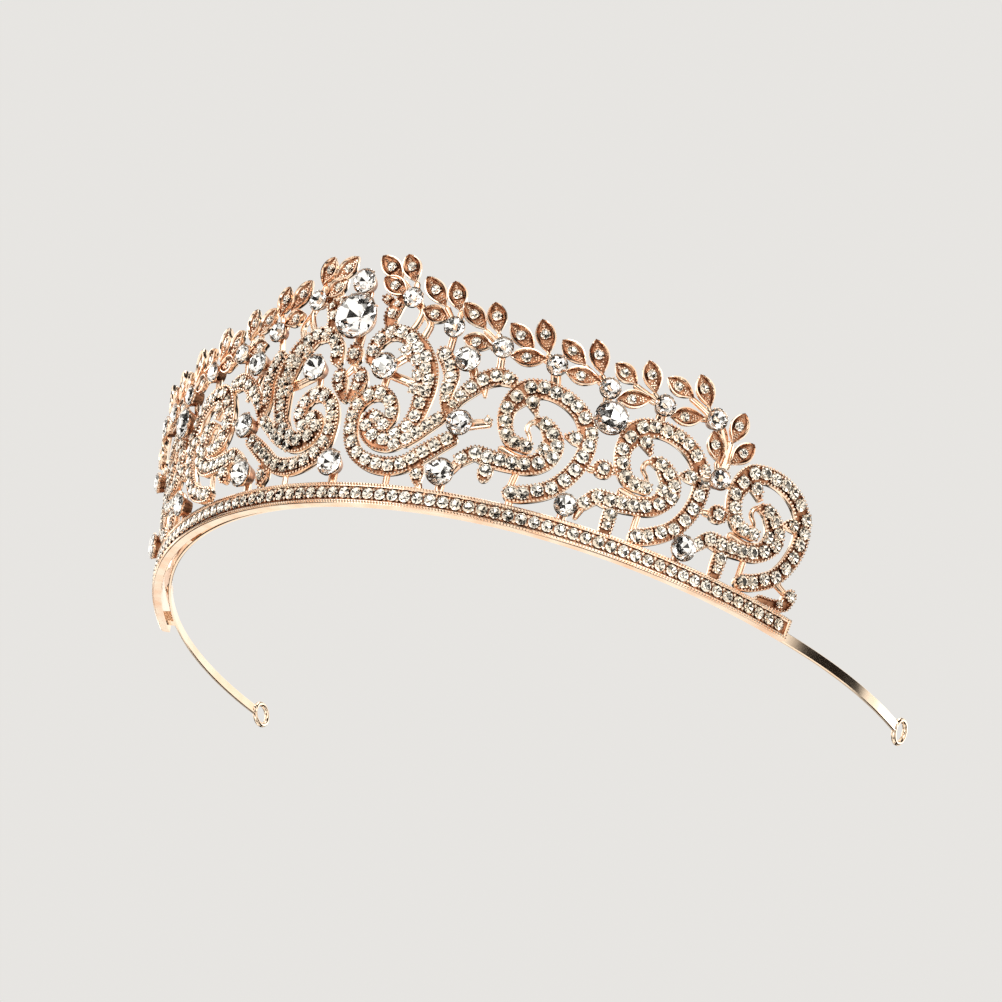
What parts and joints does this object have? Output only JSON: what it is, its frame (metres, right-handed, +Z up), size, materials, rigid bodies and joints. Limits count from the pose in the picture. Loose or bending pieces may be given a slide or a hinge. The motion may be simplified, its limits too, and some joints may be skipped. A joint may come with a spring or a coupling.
{
  "type": "bridal tiara",
  "caption": "Openwork bridal tiara of cast scrolls and leaf sprays set with round crystals, on a curved channel band with a flat strip hoop and wire end loops.",
  "frame": {"origin": "middle of the band's underside at the front centre", "axes": "+X to the wearer's left as seen from the front, along the tiara's width; +Y to the back of the head; +Z up, and the front faces -Y"},
  "size_m": [0.1606, 0.1182, 0.0518],
  "materials": {
    "rose_gold": "polished rose-gold plate on cast alloy",
    "pale_gold": "polished pale rose-gold plate on strip and wire",
    "crystal": "clear faceted crystal with a mirror-foiled back"
  },
  "bodies": {
    "root": {"base_band": "rose_gold", "centre_setting": "rose_gold", "centre_foot_collet": "rose_gold", "centre_scroll_right": "rose_gold", "plume_right": "rose_gold", "side_scroll_1_right": "rose_gold", "side_scroll_2_right": "rose_gold", "side_scroll_3_right": "rose_gold", "scroll_link_1_right": "rose_gold", "scroll_link_2_right": "rose_gold", "leaf_spray_1_right": "rose_gold", "leaf_spray_2_right": "rose_gold", "leaf_spray_3_right": "rose_gold", "leaf_spray_4_right": "rose_gold", "leaf_spray_5_right": "rose_gold", "leaf_spray_6_right": "rose_gold", "leaf_spray_7_right": "rose_gold", "leaf_spray_8_right": "rose_gold", "centre_scroll_left": "rose_gold", "plume_left": "rose_gold", "side_scroll_1_left": "rose_gold", "side_scroll_2_left": "rose_gold", "side_scroll_3_left": "rose_gold", "scroll_link_1_left": "rose_gold", "scroll_link_2_left": "rose_gold", "leaf_spray_1_left": "rose_gold", "leaf_spray_2_left": "rose_gold", "leaf_spray_3_left": "rose_gold", "leaf_spray_4_left": "rose_gold", "leaf_spray_5_left": "rose_gold", "leaf_spray_6_left": "rose_gold", "leaf_spray_7_left": "rose_gold", "leaf_spray_8_left": "rose_gold", "hoop_strip": "pale_gold", "hoop_lug_1_right": "pale_gold", "hoop_lug_2_right": "pale_gold", "hoop_lug_3_right": "pale_gold", "end_loop_right": "pale_gold", "hoop_lug_1_left": "pale_gold", "hoop_lug_2_left": "pale_gold", "hoop_lug_3_left": "pale_gold", "end_loop_left": "pale_gold", "centre_stone": "crystal", "crown_stone": "crystal", "centre_foot_stone": "crystal", "inner_stone_right": "crystal", "plume_stone_upper_right": "crystal", "plume_stone_lower_right": "crystal", "side_stone_right": "crystal", "foot_stone_1_right": "crystal", "foot_stone_2_right": "crystal", "foot_stone_3_right": "crystal", "inner_stone_left": "crystal", "plume_stone_upper_left": "crystal", "plume_stone_lower_left": "crystal", "side_stone_left": "crystal", "foot_stone_1_left": "crystal", "foot_stone_2_left": "crystal", "foot_stone_3_left": "crystal"}
  },
  "joints": []
}
